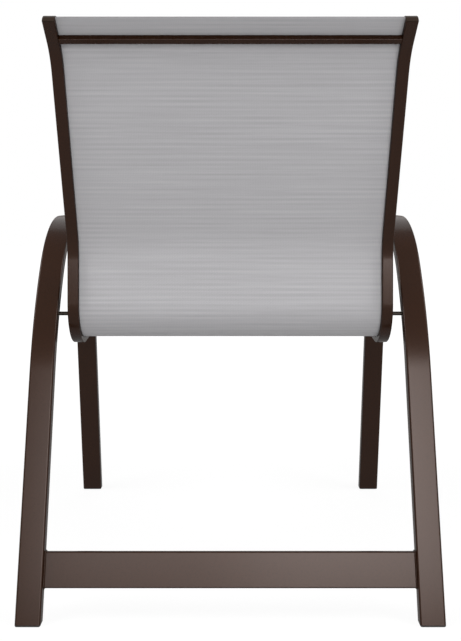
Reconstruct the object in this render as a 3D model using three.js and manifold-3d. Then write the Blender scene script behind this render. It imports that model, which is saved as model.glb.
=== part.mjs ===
// A sling patio armchair: two bent flat-tube hoops carry a pair of bent side rails, and one panel of
// woven fabric is stretched between the rails as back and seat.
// Millimetres, +Z up. The chair faces -Y, and the origin is on the floor, under the middle of the chair.
// Shapes are drawn in the side plane, as forward and up from the heel of the rear feet.
import * as THREE from 'three';
import { mergeVertices } from 'three/addons/utils/BufferGeometryUtils.js';
import ManifoldModule from 'manifold-3d';

const wasm = await ManifoldModule();
wasm.setup();

const degrees = THREE.MathUtils.degToRad;

// The whole chair
const overallWidth = 632;
const armHeight = 595;
const footSpread = 600;
const armGap = 15.9;

// Hoops, flat tube bent into rear leg, armrest and front leg, with radii at the middle of the tube
const hoopWidth = 38.1;
const hoopThickness = 19;
const hoopWall = 2;
const hoopCorner = 3;
const rearLean = degrees(14.6);
const rearSweepRadius = 497;
const rearSweepTurn = degrees(20.8);
const rearCornerRadius = 165.5;
const frontCornerRadius = 112;
const frontLean = degrees(12.8);

// Rear brace, a flat bar welded between the rear legs
const braceHeight = 71.9;
const braceDepth = 51;
const braceThickness = 9.5;
const braceCorner = 2;

// Side rails, an extrusion with a keyhole groove for the fabric, with radii at the middle of the rail
const railWidth = 17.5;
const railDepth = 21;
const railWall = 1.6;
const railCorner = 1.5;
const seatLowHeight = 384.4;
const lumbarSetback = 123;
const lumbarRun = 70.2;
const backRun = 263.6;
const flareRun = 41.4;
const recline = degrees(24.7);
const flareLean = degrees(53.9);
const flareRadius = 112;
const backRadius = 111.5;
const seatRadius = 62.7;
const seatRise = degrees(4);
const lipRadius = 72;
const lipDrop = degrees(48);
const lipRun = 26;
const lipOverhang = 4.2;

// Fabric panel, with a pocket along each edge for the spline that holds it in the groove
const slingThickness = 1.2;
const splineDiameter = 4.8;
const pocketClearance = 0.3;
const grooveClearance = 0.3;
const slotClearance = 0.8;
const slingInset = 1.7;
const splineInset = 7;

// Plugs in the ends of the rails, flat behind and rounded towards the sitter
const noseRadius = 17;
const plugThickness = 1.8;
const stemMargin = 3;

// Spreaders, square bars between the rails on the back of the fabric
const spreaderSide = 9.5;
const spreaderCorner = 1;
const topSpreaderInset = 39.4;
const rearSpreaderInset = 75;
const frontSpreaderLead = 15;

// Countersunk screws through the rails into the ends of the spreaders
const screwDiameter = 3.5;
const screwHead = 6;
const screwGrip = 12;
const grooveMargin = 0.1;

// Bolts across the gap, with a flush insert in the hoop and a plate nut in the rail
const boltDiameter = 6.35;
const boltHead = 12;
const boltChamfer = 0.8;
const insertWall = 1.4;
const insertLength = 12;
const nutSide = 12;
const rearBoltDrop = 3.4;

// Glides in the feet
const glideThickness = 3;
const glideStem = 22;

// Clearances shared by all pieces, and how finely bends, corners and turned pieces are drawn
const touchGap = 0.3;
const fitGap = 0.15;
const overrun = 20;
const bendError = 0.35;
const fineError = 0.005;
const noseStep = degrees(15);
const cornerStep = degrees(45);
const hiddenCornerStep = degrees(90);
const boltSides = 12;
const screwSides = 8;

// A route in the side plane, made of straights and tangent arcs as a tube bender makes it.
// A heading is the angle of travel above the forward direction, and ends holds the station where
// each named move ends.
class BendPath extends THREE.Curve {
  constructor(start, heading, moves, chordError = bendError) {
    super();
    this.stations = [{ forward: start.x, up: start.y, heading }];
    this.ends = { start: this.stations[0] };
    for (const [name, move] of Object.entries(moves)) {
      if (move.run) this.goStraight(move.run);
      else this.goRound(move.radius, move.to, chordError);
      this.ends[name] = this.last();
    }
  }

  last() {
    return this.stations[this.stations.length - 1];
  }

  goStraight(length) {
    const { forward, up, heading } = this.last();
    this.stations.push({
      forward: forward + length * Math.cos(heading),
      up: up + length * Math.sin(heading),
      heading,
    });
  }

  // Stations on an arc stand close enough that no chord strays from it by more than the error
  goRound(radius, toHeading, chordError) {
    const from = this.last();
    const turn = toHeading - from.heading;
    const count = Math.ceil(Math.abs(turn) / (2 * Math.acos(1 - chordError / radius)));
    const signed = radius * Math.sign(turn);
    for (let i = 1; i <= count; i += 1) {
      const heading = from.heading + turn * (i / count);
      this.stations.push({
        forward: from.forward + signed * (Math.sin(heading) - Math.sin(from.heading)),
        up: from.up - signed * (Math.cos(heading) - Math.cos(from.heading)),
        heading,
      });
    }
  }

  shift(forward, up) {
    for (const station of this.stations) {
      station.forward += forward;
      station.up += up;
    }
    return this;
  }

  station(t) {
    return this.stations[Math.round(t * (this.stations.length - 1))];
  }

  getPointAt(t, target = new THREE.Vector3()) {
    const { forward, up } = this.station(t);
    return target.set(0, -forward, up);
  }

  getTangentAt(t, target = new THREE.Vector3()) {
    const { heading } = this.station(t);
    return target.set(0, -Math.cos(heading), Math.sin(heading));
  }
}

// The point beside a station, at the right-hand side of its travel, and further along its heading
function beside(station, right, ahead = 0) {
  const along = new THREE.Vector2(Math.cos(station.heading), Math.sin(station.heading));
  const across = new THREE.Vector2(along.y, -along.x);
  return new THREE.Vector2(station.forward, station.up)
    .addScaledVector(across, right)
    .addScaledVector(along, ahead);
}

// A point on the rail's route as a station, with the heading of the rail there
function railStation(point) {
  const nearest = railPath.stations.reduce((best, station) => (
    beside(station, 0).distanceTo(point) < beside(best, 0).distanceTo(point) ? station : best));
  return { forward: point.x, up: point.y, heading: nearest.heading };
}

// Where two routes cross in the side plane, searching from the start of the first
function crossing(first, second) {
  for (let i = 1; i < first.stations.length; i += 1) {
    const a = beside(first.stations[i - 1], 0);
    const b = beside(first.stations[i], 0);
    for (let j = 1; j < second.stations.length; j += 1) {
      const c = beside(second.stations[j - 1], 0);
      const d = beside(second.stations[j], 0);
      const ab = b.clone().sub(a);
      const cd = d.clone().sub(c);
      const ac = c.clone().sub(a);
      const turn = ab.cross(cd);
      const along = ac.cross(cd) / turn;
      const other = ac.cross(ab) / turn;
      if (along >= 0 && along <= 1 && other >= 0 && other <= 1) return a.addScaledVector(ab, along);
    }
  }
  throw new Error('the rails do not cross the hoops');
}

// The points of an arc, its ends included
function arc(x, y, radius, from, to, step = cornerStep) {
  const count = Math.max(1, Math.ceil(Math.abs(to - from) / step - Number.EPSILON * 8));
  return Array.from({ length: count + 1 }, (_, i) => {
    const angle = from + (to - from) * (i / count);
    return new THREE.Vector2(x + radius * Math.cos(angle), y + radius * Math.sin(angle));
  });
}

function circle(x, y, radius) {
  return arc(x, y, radius, 0, 2 * Math.PI).slice(1);
}

// A rectangle with round corners, counter-clockwise from its right side's lower corner
function roundedRectangle(x, y, width, height, radius, step = cornerStep) {
  const cx = width / 2 - radius;
  const cy = height / 2 - radius;
  const quarter = Math.PI / 2;
  return [[cx, -cy], [cx, cy], [-cx, cy], [-cx, -cy]].flatMap(([dx, dy], i) => (
    arc(x + dx, y + dy, radius, (i - 1) * quarter, i * quarter, step)));
}

function shapeOf(outline, holes = []) {
  const shape = new THREE.Shape(outline);
  shape.holes = holes.map((hole) => new THREE.Path(hole));
  return shape;
}

// A section swept along a route. In a section, x points away from the chair's left side, and y points
// to the right-hand side of the travel.
function sweep(shape, path) {
  return new THREE.ExtrudeGeometry(shape, { steps: path.stations.length - 1, extrudePath: path });
}

// A side-plane outline given a width across the chair
function slab(outline, fromX, toX) {
  const shape = new THREE.Shape(outline.map((point) => new THREE.Vector2(-point.x, point.y)));
  const geometry = new THREE.ExtrudeGeometry(shape, { depth: toX - fromX, bevelEnabled: false });
  geometry.translate(0, 0, fromX);
  const across = new THREE.Matrix4().makeBasis(
    new THREE.Vector3(0, 1, 0), new THREE.Vector3(0, 0, 1), new THREE.Vector3(1, 0, 0));
  return geometry.applyMatrix4(across);
}

// A turned piece lying across the chair, with its axis through a station. Profile points are radius
// and distance from the chair's middle.
function turned(profile, station, sides) {
  const points = profile.map(([radius, x]) => new THREE.Vector2(radius, x));
  const geometry = new THREE.LatheGeometry(points, sides);
  geometry.rotateZ(-Math.PI / 2);
  return geometry.translate(0, -station.forward, station.up);
}

function rod(radius, station, fromX, toX, sides) {
  return turned([[0, fromX], [radius, fromX], [radius, toX], [0, toX]], station, sides);
}

// A closed geometry as a solid that can be joined and cut
function solidOf(geometry) {
  const bare = geometry.clone();
  bare.deleteAttribute('normal');
  bare.deleteAttribute('uv');
  const merged = mergeVertices(bare);
  return new wasm.Manifold(new wasm.Mesh({
    numProp: 3,
    vertProperties: merged.attributes.position.array,
    triVerts: merged.index.array,
  }));
}

function geometryOf(solid) {
  const { vertProperties, triVerts } = solid.getMesh();
  const geometry = new THREE.BufferGeometry();
  geometry.setAttribute('position', new THREE.BufferAttribute(new Float32Array(vertProperties), 3));
  geometry.setIndex(new THREE.BufferAttribute(new Uint32Array(triVerts), 1));
  geometry.computeVertexNormals();
  return geometry;
}

function cut(geometry, cutters) {
  return geometryOf(cutters.reduce((solid, cutter) => solid.subtract(solidOf(cutter)), solidOf(geometry)));
}

// The same piece on the other side of the chair
function mirrored(geometry) {
  const copy = geometry.index ? geometry.clone() : mergeVertices(geometry.clone());
  copy.scale(-1, 1, 1);
  const corners = copy.index.array;
  for (let i = 0; i < corners.length; i += 3) [corners[i], corners[i + 1]] = [corners[i + 1], corners[i]];
  copy.computeVertexNormals();
  return copy;
}

// Places across the chair, worked out from its width
const hoopOuterX = overallWidth / 2;
const hoopInnerX = hoopOuterX - hoopWidth;
const hoopX = (hoopOuterX + hoopInnerX) / 2;
const railOuterX = hoopInnerX - armGap;
const railInnerX = railOuterX - railWidth;
const railX = (railOuterX + railInnerX) / 2;

// The hoop's route: the rear leg is as long as the arm height asks, and the arm as the feet ask
function hoopRoute(chordError) {
  const climb = Math.PI / 2 - rearLean;
  const afterSweep = climb - rearSweepTurn;
  const descent = frontLean - Math.PI / 2;
  const armUp = armHeight - hoopThickness / 2;
  const sweepRise = rearSweepRadius * (Math.cos(afterSweep) - Math.cos(climb));
  const cornerRise = rearCornerRadius * (1 - Math.cos(afterSweep));
  const rearLeg = (armUp - sweepRise - cornerRise) / Math.sin(climb);
  const cornerDrop = frontCornerRadius * (1 - Math.cos(descent));
  const frontLeg = (armUp - cornerDrop) / -Math.sin(descent);
  const heel = hoopThickness / 2 / Math.sin(climb);
  const toe = footSpread - hoopThickness / 2 / -Math.sin(descent);
  const rearReach = rearLeg * Math.cos(climb)
    + rearSweepRadius * (Math.sin(climb) - Math.sin(afterSweep)) + rearCornerRadius * Math.sin(afterSweep);
  const frontReach = frontCornerRadius * -Math.sin(descent) + frontLeg * Math.cos(descent);
  const arm = toe - heel - rearReach - frontReach;
  const start = new THREE.Vector2(heel - overrun * Math.cos(climb), -overrun * Math.sin(climb));
  return new BendPath(start, climb, {
    rearLeg: { run: rearLeg + overrun },
    rearSweep: { radius: rearSweepRadius, to: afterSweep },
    rearCorner: { radius: rearCornerRadius, to: 0 },
    arm: { run: arm },
    frontCorner: { radius: frontCornerRadius, to: descent },
    frontLeg: { run: frontLeg + overrun },
  }, chordError);
}

// The rail's route, from the top of the back down and forward to the front lip. It is set in place by
// the lumbar stretch and the lowest point of the seat bend, and the seat runs on until the end of the
// lip overhangs the toes of the front feet.
function railRoute(inset, chordError) {
  const down = -Math.PI / 2;
  const lumbarForward = lumbarSetback + railDepth / 2;
  const lumbarUp = seatLowHeight + seatRadius + railDepth / 2;
  const seatBendReach = seatRadius * (1 + Math.sin(seatRise));
  const lipReach = lipRadius * (Math.sin(seatRise) + Math.sin(lipDrop)) + lipRun * Math.cos(lipDrop);
  const seatReach = footSpread + lipOverhang - lumbarForward - seatBendReach - lipReach;
  const route = new BendPath(new THREE.Vector2(), down + flareLean, {
    flare: { run: flareRun - inset },
    flareBend: { radius: flareRadius, to: down + recline },
    back: { run: backRun },
    backBend: { radius: backRadius, to: down },
    lumbar: { run: lumbarRun },
    seatBend: { radius: seatRadius, to: seatRise },
    seat: { run: seatReach / Math.cos(seatRise) },
    lip: { radius: lipRadius, to: -lipDrop },
    tip: { run: lipRun - inset },
  }, chordError);
  const { lumbar } = route.ends;
  return route.shift(lumbarForward - lumbar.forward, lumbarUp - lumbar.up);
}

const hoopPath = hoopRoute();
const railPath = railRoute(0);
const slingPath = railRoute(slingInset);
const splinePath = railRoute(splineInset);

// Bolts stand where the middle of a rail crosses the middle of a hoop, the rear ones a little lower
const fineHoop = hoopRoute(fineError);
const fineRail = railRoute(0, fineError);
const rearBolt = crossing(fineHoop, fineRail);
const reversedHoop = { stations: fineHoop.stations.slice().reverse() };
const frontBolt = crossing(reversedHoop, fineRail);
const bolts = {
  rear: railStation(beside(railStation(rearBolt), 0, rearBoltDrop)),
  front: railStation(frontBolt),
};

// The keyhole groove: round inside for the pocket and spline, with a slot in the rail's inner face
const splineRadius = splineDiameter / 2;
const pocketRadius = splineRadius + pocketClearance + slingThickness;
const grooveRadius = pocketRadius + grooveClearance;
const slotWidth = slingThickness + 2 * slotClearance;
const grooveDepth = railWall + Math.sqrt(grooveRadius ** 2 - (slotWidth / 2) ** 2);
const chamberX = -railWidth / 2 + railWall;
const chamberWidth = railWidth - 2 * railWall - grooveDepth - grooveRadius;
const splineX = railInnerX + grooveDepth;
const chamberMiddle = railOuterX - railWall - chamberWidth / 2;

// The section of the rail on the chair's left, about the middle of the rail
function railSection() {
  const grooveX = railWidth / 2 - grooveDepth;
  const mouth = Math.asin(slotWidth / 2 / grooveRadius);
  const box = roundedRectangle(0, 0, railWidth, railDepth, railCorner);
  const lip = new THREE.Vector2(railWidth / 2, -slotWidth / 2);
  const groove = arc(grooveX, 0, grooveRadius, -mouth, mouth - 2 * Math.PI);
  const perCorner = box.length / 4;
  const outline = [
    ...box.slice(perCorner),
    ...box.slice(0, perCorner),
    lip,
    ...groove,
    new THREE.Vector2(railWidth / 2, slotWidth / 2),
  ];
  const chamber = roundedRectangle(
    chamberX + chamberWidth / 2, 0, chamberWidth, railDepth - 2 * railWall, railWall / 2,
    hiddenCornerStep);
  return { outline, chamber };
}

function moved(outline, x) {
  return outline.map((point) => new THREE.Vector2(point.x + x, point.y));
}

// The outline of what lies beyond a rounded rail end, in the side plane. Depth runs from the rear or
// under face to the sitter's face, and inset runs from the end into the rail.
function beyondNose(end, inset) {
  const inward = end.outward ? -1 : 1;
  const place = (depth, deep) => beside(end.station, railDepth / 2 - depth, inward * deep);
  const radius = noseRadius - inset;
  const shoulder = plugThickness - inset;
  const round = arc(
    railDepth - noseRadius, noseRadius, radius, -Math.PI / 2, -Math.asin(shoulder / radius), noseStep);
  return [
    place(-overrun, -overrun),
    place(-overrun, inset),
    ...round.map((point) => place(point.x, point.y)),
    place(railDepth + overrun, noseRadius - shoulder),
    place(railDepth + overrun, -overrun),
  ];
}

const railEnds = {
  top: { station: railPath.ends.start, outward: false },
  front: { station: railPath.ends.tip, outward: true },
};

// A short straight route from a rail's end into the rail
function endRoute(end, length) {
  const { station, outward } = end;
  const start = outward ? beside(station, 0, -length) : beside(station, 0);
  return new BendPath(start, station.heading, { whole: { run: length } });
}

// Spreaders lie against the back of the fabric, and their screws pass behind the groove. The one in
// front lies just ahead of the bolts that carry it.
const spreaderOffset = railDepth / 2 - spreaderSide / 2;
const screwOffset = grooveRadius + grooveMargin + fitGap + screwDiameter / 2;
const spreaders = {
  top_spreader: { station: railPath.ends.start, ahead: topSpreaderInset },
  seat_rear_spreader: { station: railPath.ends.seatBend, ahead: rearSpreaderInset },
  seat_front_spreader: { station: bolts.front, ahead: frontSpreaderLead },
};

// A square bar's outline in the side plane, turned with the rail beside it
function barOutline(station, right, ahead, width, height, corner) {
  return roundedRectangle(0, 0, width, height, corner)
    .map((point) => beside(station, right + point.x, ahead + point.y));
}

// A countersunk bolt from its tip in the rail's chamber to its head, flush with the hoop's outer face
function boltProfile() {
  const radius = boltDiameter / 2;
  const head = boltHead / 2;
  const tip = railOuterX - railWall - chamberWidth + touchGap;
  return [
    [0, tip], [radius - boltChamfer, tip], [radius, tip + boltChamfer],
    [radius, hoopOuterX - (head - radius)], [head, hoopOuterX], [0, hoopOuterX],
  ];
}

// A countersunk screw from its tip in the spreader to its head, flush with the rail's outer face
function screwProfile() {
  const radius = screwDiameter / 2;
  const head = screwHead / 2;
  const tip = railInnerX - screwGrip;
  return [
    [0, tip - radius], [radius, tip],
    [radius, railOuterX - (head - radius)], [head, railOuterX], [0, railOuterX],
  ];
}

// Where a spreader's screws stand
function screwPlace({ station, ahead }) {
  const place = beside(station, screwOffset, ahead);
  return { forward: place.x, up: place.y };
}

// The hole that leaves a countersunk fastener its clearance, past both ends of the fastener
function fastenerHole(profile, station, sides) {
  const [, tip] = profile[0];
  const [head, face] = profile[profile.length - 2];
  const [shank, neck] = profile[profile.length - 3];
  return turned([
    [0, tip - overrun], [shank + fitGap, tip - overrun],
    [shank + fitGap, neck], [head + fitGap, face], [head + fitGap, face + overrun],
    [0, face + overrun],
  ], station, sides);
}

function makeHoop() {
  const outer = roundedRectangle(-hoopX, 0, hoopWidth, hoopThickness, hoopCorner);
  const inner = roundedRectangle(
    -hoopX, 0, hoopWidth - 2 * hoopWall, hoopThickness - 2 * hoopWall, hoopCorner - hoopWall,
    hiddenCornerStep);
  const below = [
    new THREE.Vector2(-overrun, -2 * overrun), new THREE.Vector2(footSpread + overrun, -2 * overrun),
    new THREE.Vector2(footSpread + overrun, glideThickness), new THREE.Vector2(-overrun, glideThickness),
  ];
  const insertRadius = boltDiameter / 2 + insertWall;
  const holes = Object.values(bolts).flatMap((bolt) => [
    fastenerHole(boltProfile(), bolt, boltSides),
    rod(insertRadius + 2 * fitGap, bolt, hoopInnerX - overrun, hoopInnerX + 2 * hoopWall, boltSides),
  ]);
  return cut(sweep(shapeOf(outer, [inner]), hoopPath), [slab(below, 0, overallWidth), ...holes]);
}

// A moulded glide: a plate under the cut end of the tube and a stem inside it. Its route starts that
// far before the station.
function makeGlide(station, before) {
  const start = beside(station, 0, -before);
  const route = new BendPath(start, station.heading, { whole: { run: glideStem + 2 * overrun } });
  const clear = 2 * (hoopWall + fitGap);
  const plate = shapeOf(roundedRectangle(-hoopX, 0, hoopWidth, hoopThickness, hoopCorner));
  const stem = shapeOf(roundedRectangle(
    -hoopX, 0, hoopWidth - clear, hoopThickness - clear, hoopCorner - hoopWall, hiddenCornerStep));
  const band = (bottom, top) => slab([
    new THREE.Vector2(-overrun, bottom), new THREE.Vector2(footSpread + overrun, bottom),
    new THREE.Vector2(footSpread + overrun, top), new THREE.Vector2(-overrun, top),
  ], 0, overallWidth);
  const foot = solidOf(sweep(plate, route)).intersect(solidOf(band(0, glideThickness - fitGap)));
  const plug = solidOf(sweep(stem, route)).intersect(solidOf(band(glideThickness / 2, glideStem)));
  return geometryOf(foot.add(plug));
}

function makeBrace() {
  const leg = hoopPath.ends.start;
  const ahead = overrun + braceHeight / Math.cos(rearLean);
  const outline = barOutline(
    leg, (hoopThickness - braceThickness) / 2, ahead, braceThickness, braceDepth, braceCorner);
  return slab(outline, -hoopInnerX + touchGap, hoopInnerX - touchGap);
}

function makeRail() {
  const { outline, chamber } = railSection();
  const body = sweep(shapeOf(moved(outline, -railX), [moved(chamber, -railX)]), railPath);
  const noses = Object.values(railEnds).map(
    (end) => slab(beyondNose(end, plugThickness), 0, overallWidth));
  const boltHoles = Object.values(bolts).map((bolt) => (
    rod(boltDiameter / 2 + fitGap, bolt, chamberMiddle, railOuterX + overrun, boltSides)));
  const screwHoles = Object.values(spreaders).map((spreader) => (
    fastenerHole(screwProfile(), screwPlace(spreader), screwSides)));
  return cut(body, [...noses, ...boltHoles, ...screwHoles]);
}

function makePlug(end) {
  const { chamber } = railSection();
  const outer = shapeOf(moved(roundedRectangle(0, 0, railWidth, railDepth, railCorner), -railX));
  const stemShape = shapeOf(moved(roundedRectangle(
    chamberX + chamberWidth / 2, 0, chamberWidth - 2 * fitGap,
    railDepth - 2 * railWall - 2 * fitGap, railWall / 2, hiddenCornerStep), -railX));
  const across = [0, overallWidth];
  const beyond = solidOf(slab(beyondNose(end, 0), ...across));
  const capZone = solidOf(slab(beyondNose(end, plugThickness - fitGap), ...across));
  const cap = solidOf(sweep(outer, endRoute(end, noseRadius))).intersect(capZone);
  const stem = solidOf(sweep(stemShape, endRoute(end, lipRun - stemMargin)));
  return geometryOf(cap.add(stem).subtract(beyond));
}

function makeSpreader(spreader) {
  const outline = barOutline(
    spreader.station, spreaderOffset, spreader.ahead, spreaderSide, spreaderSide, spreaderCorner);
  const place = screwPlace(spreader);
  const reach = railInnerX - touchGap;
  const deep = reach - screwGrip - screwDiameter;
  const bore = screwDiameter / 2 + fitGap;
  const holes = [
    rod(bore, place, deep, reach + overrun, screwSides),
    rod(bore, place, -reach - overrun, -deep, screwSides),
  ];
  return cut(slab(outline, -reach, reach), holes);
}

function makeSling() {
  const half = slingThickness / 2;
  const mouth = Math.asin(half / pocketRadius);
  const outline = [
    ...arc(splineX, 0, pocketRadius, -Math.PI + mouth, Math.PI - mouth),
    ...arc(-splineX, 0, pocketRadius, mouth, 2 * Math.PI - mouth),
  ];
  const pocket = splineRadius + pocketClearance;
  const panel = sweep(
    shapeOf(outline, [circle(splineX, 0, pocket), circle(-splineX, 0, pocket)]), slingPath);
  const corners = Object.values(railEnds).flatMap((end) => {
    const behindPlug = beyondNose(end, plugThickness + touchGap);
    return [
      slab(behindPlug, railInnerX - touchGap, overallWidth),
      slab(behindPlug, -overallWidth, touchGap - railInnerX),
    ];
  });
  return cut(panel, corners);
}

function makeSpline() {
  return sweep(shapeOf(circle(-splineX, 0, splineRadius)), splinePath);
}

function makeInsert(station) {
  const bore = boltDiameter / 2 + fitGap;
  const outer = bore + insertWall;
  const far = hoopInnerX + insertLength;
  return turned(
    [[bore, hoopInnerX], [outer, hoopInnerX], [outer, far], [bore, far], [bore, hoopInnerX]],
    station, boltSides);
}

function makeNut(station) {
  const outline = barOutline(station, 0, 0, nutSide, nutSide, railCorner);
  const outerX = railOuterX - railWall - touchGap;
  const plate = slab(outline, outerX - chamberWidth + 2 * touchGap, outerX);
  return cut(plate, [rod(boltDiameter / 2 + fitGap, station, 0, overallWidth, boltSides)]);
}

const powderCoat = new THREE.MeshStandardMaterial({ color: 0x4a3830, roughness: 0.45, metalness: 0.3 });
const fabric = new THREE.MeshStandardMaterial({ color: 0xa3a3a5, roughness: 0.85, metalness: 0 });
const moulded = new THREE.MeshStandardMaterial({ color: 0x2b211c, roughness: 0.55, metalness: 0 });
const glideNylon = new THREE.MeshStandardMaterial({ color: 0x1c1816, roughness: 0.6, metalness: 0 });
const blackSteel = new THREE.MeshStandardMaterial({ color: 0x22201e, roughness: 0.4, metalness: 0.6 });
const zincSteel = new THREE.MeshStandardMaterial({ color: 0x9c9a94, roughness: 0.4, metalness: 0.9 });
const splineVinyl = new THREE.MeshStandardMaterial({ color: 0xd8d6d0, roughness: 0.6, metalness: 0 });

const chair = new THREE.Group();

function add(name, geometry, material) {
  const mesh = new THREE.Mesh(geometry, material);
  mesh.name = name;
  chair.add(mesh);
}

// A piece on the chair's left and the same on its right
function addPair(name, geometry, material, suffix = '') {
  add(`${name}_left${suffix}`, geometry, material);
  add(`${name}_right${suffix}`, mirrored(geometry), material);
}

addPair('hoop', makeHoop(), powderCoat);
add('rear_brace', makeBrace(), powderCoat);
addPair('rail', makeRail(), powderCoat);
add('sling', makeSling(), fabric);
addPair('spline', makeSpline(), splineVinyl);
addPair('foot_glide', makeGlide(hoopPath.ends.start, 0), glideNylon, '_rear');
addPair('foot_glide', makeGlide(hoopPath.ends.frontLeg, glideStem + 2 * overrun), glideNylon, '_front');

for (const [name, end] of Object.entries(railEnds)) {
  addPair('rail_plug', makePlug(end), moulded, `_${name}`);
}

for (const [name, spreader] of Object.entries(spreaders)) {
  add(name, makeSpreader(spreader), powderCoat);
  const screw = turned(screwProfile(), screwPlace(spreader), screwSides);
  addPair('spreader_screw', screw, blackSteel, `_${name.replace('_spreader', '')}`);
}

for (const [name, bolt] of Object.entries(bolts)) {
  addPair('frame_bolt', turned(boltProfile(), bolt, boltSides), blackSteel, `_${name}`);
  addPair('hoop_insert', makeInsert(bolt), zincSteel, `_${name}`);
  addPair('rail_nut', makeNut(bolt), zincSteel, `_${name}`);
}

// The chair stands centred over the origin
const box = new THREE.Box3().setFromObject(chair);
chair.position.y = -(box.min.y + box.max.y) / 2;

export default chair;
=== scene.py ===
"""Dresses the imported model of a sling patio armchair, and sets it on a studio stage.

Blender units are metres, +Z is up, the chair faces -Y and stands with the origin on the floor under
its middle. Shapes of bent bars are drawn in the side plane, as forward and up from the heel of the
rear feet. Left is the sitter's left, at +X.
"""
import math
from collections import namedtuple
from itertools import pairwise
from types import SimpleNamespace

import bmesh
import bpy
from bpy.props import FloatProperty, FloatVectorProperty, PointerProperty
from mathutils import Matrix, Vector
from mathutils.geometry import tessellate_polygon


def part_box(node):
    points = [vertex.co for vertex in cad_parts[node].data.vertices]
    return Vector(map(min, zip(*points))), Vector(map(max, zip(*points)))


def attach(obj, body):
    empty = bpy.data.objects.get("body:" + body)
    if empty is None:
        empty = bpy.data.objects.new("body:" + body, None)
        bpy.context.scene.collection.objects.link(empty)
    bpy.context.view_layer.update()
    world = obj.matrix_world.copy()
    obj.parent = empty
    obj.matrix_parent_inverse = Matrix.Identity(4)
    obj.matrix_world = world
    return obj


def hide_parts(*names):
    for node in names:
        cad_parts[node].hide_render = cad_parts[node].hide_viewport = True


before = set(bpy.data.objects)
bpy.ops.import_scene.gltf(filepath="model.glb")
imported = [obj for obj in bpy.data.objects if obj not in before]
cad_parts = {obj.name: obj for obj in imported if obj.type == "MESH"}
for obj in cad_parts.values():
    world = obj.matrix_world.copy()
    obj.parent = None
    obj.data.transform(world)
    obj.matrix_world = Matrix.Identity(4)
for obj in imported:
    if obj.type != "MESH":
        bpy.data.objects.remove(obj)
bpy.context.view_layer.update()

bl_info = {
    "name": "Sling patio chair",
    "version": (1, 0, 0),
    "blender": (4, 5, 0),
    "location": "View3D > Sidebar > Patio Chair",
    "description": "Builds the visible pieces of a sling patio armchair around its packed model",
    "category": "Add Mesh",
}

MM = 0.001
QUARTER = math.pi / 2
SIDES = {"left": 1, "right": -1}
ENDS = ("rear", "front")
SPREADERS = ("top", "seat_rear", "seat_front")

# How finely curved shapes are drawn
CORNER_SEGMENTS = 6
EDGE_SEGMENTS = 4
BEND_STEP = math.radians(2)
CLOTH_STEP = 12 * MM
RAIL_FACE_STEP = 1.2 * MM
SHARP_ANGLE = math.radians(34)

# A hole's cutter reaches past what it cuts, and pieces that fit or touch keep a small gap
OVERRUN = 20 * MM
FIT_GAP = 0.15 * MM
TOUCH_GAP = 0.3 * MM

# How far the cut ends of bars are rounded
BAR_EDGE = 0.2 * MM


def low(node):
    """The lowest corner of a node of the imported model"""
    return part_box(node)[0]


def high(node):
    """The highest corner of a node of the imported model"""
    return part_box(node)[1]


def middle(node):
    """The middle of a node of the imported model"""
    return (low(node) + high(node)) / 2


def inner_x(node):
    """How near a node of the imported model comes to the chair's middle"""
    return min(abs(low(node).x), abs(high(node).x))


HEEL_Y = high("foot_glide_left_rear").y


def linear(hex_colour):
    """An sRGB hex colour as the linear red, green and blue that colour sockets take"""
    channels = (int(hex_colour[i:i + 2], 16) / 255 for i in (0, 2, 4))
    return tuple(c / 12.92 if c <= 0.04045 else ((c + 0.055) / 1.055) ** 2.4 for c in channels)


def length(name, description, metres):
    """A setting for a length"""
    return FloatProperty(name=name, description=description, default=metres, unit="LENGTH")


def angle(name, description, degrees):
    """A setting for an angle"""
    return FloatProperty(
        name=name, description=description, default=math.radians(degrees), unit="ROTATION")


def colour(name, description, hex_colour):
    """A setting for a colour"""
    return FloatVectorProperty(
        name=name, description=description, default=linear(hex_colour), size=3, subtype="COLOR")


class HoopSizes(bpy.types.PropertyGroup):
    """The flat tube hoops that make the legs and the arms, with radii at the middle of the tube"""
    width: length("Tube width", "Across the chair, which is also the width of the armrest",
                  high("hoop_left").x - low("hoop_left").x)
    thickness: length("Tube thickness", "Front to back at the legs", 19 * MM)
    wall: length("Tube wall", "Wall of the aluminium tube", 2 * MM)
    corner: length("Tube corner", "Radius of the tube's four long edges", 3 * MM)
    arm_height: length("Arm height", "From the floor to the top of the arm", high("hoop_left").z)
    foot_spread: length("Foot spread", "From the heel of the rear foot to the toe of the front one",
                        HEEL_Y - low("foot_glide_left_front").y)
    rear_lean: angle("Rear lean", "How far the foot of the rear leg leans from upright", 14.6)
    sweep_radius: length("Sweep radius", "Long bend in the upper part of the rear leg", 497 * MM)
    sweep_turn: angle("Sweep turn", "How far the long bend turns", 20.8)
    rear_corner: length("Rear corner", "Bend from the rear leg into the arm", 165.5 * MM)
    front_corner: length("Front corner", "Bend from the arm into the front leg", 112 * MM)
    front_lean: angle("Front lean", "How far the front leg leans from upright", 12.8)
    glide_thickness: length("Glide thickness", "Plate of the moulded glide under each foot", 3 * MM)
    glide_round: length("Glide rounding", "Rounded lower edge of each glide", 2.4 * MM)


class BraceSizes(bpy.types.PropertyGroup):
    """The flat bar welded between the rear legs"""
    height: length("Height", "From the floor to the middle of the bar", 71.9 * MM)
    depth: length("Depth", "Width of the flat bar, up along the leg", 51 * MM)
    thickness: length("Thickness", "Thickness of the flat bar", 9.5 * MM)
    corner: length("Corner", "Radius of the bar's long edges", 2 * MM)
    weld: length("Weld", "Width of the bead where the bar meets the legs", 1.8 * MM)


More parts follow.
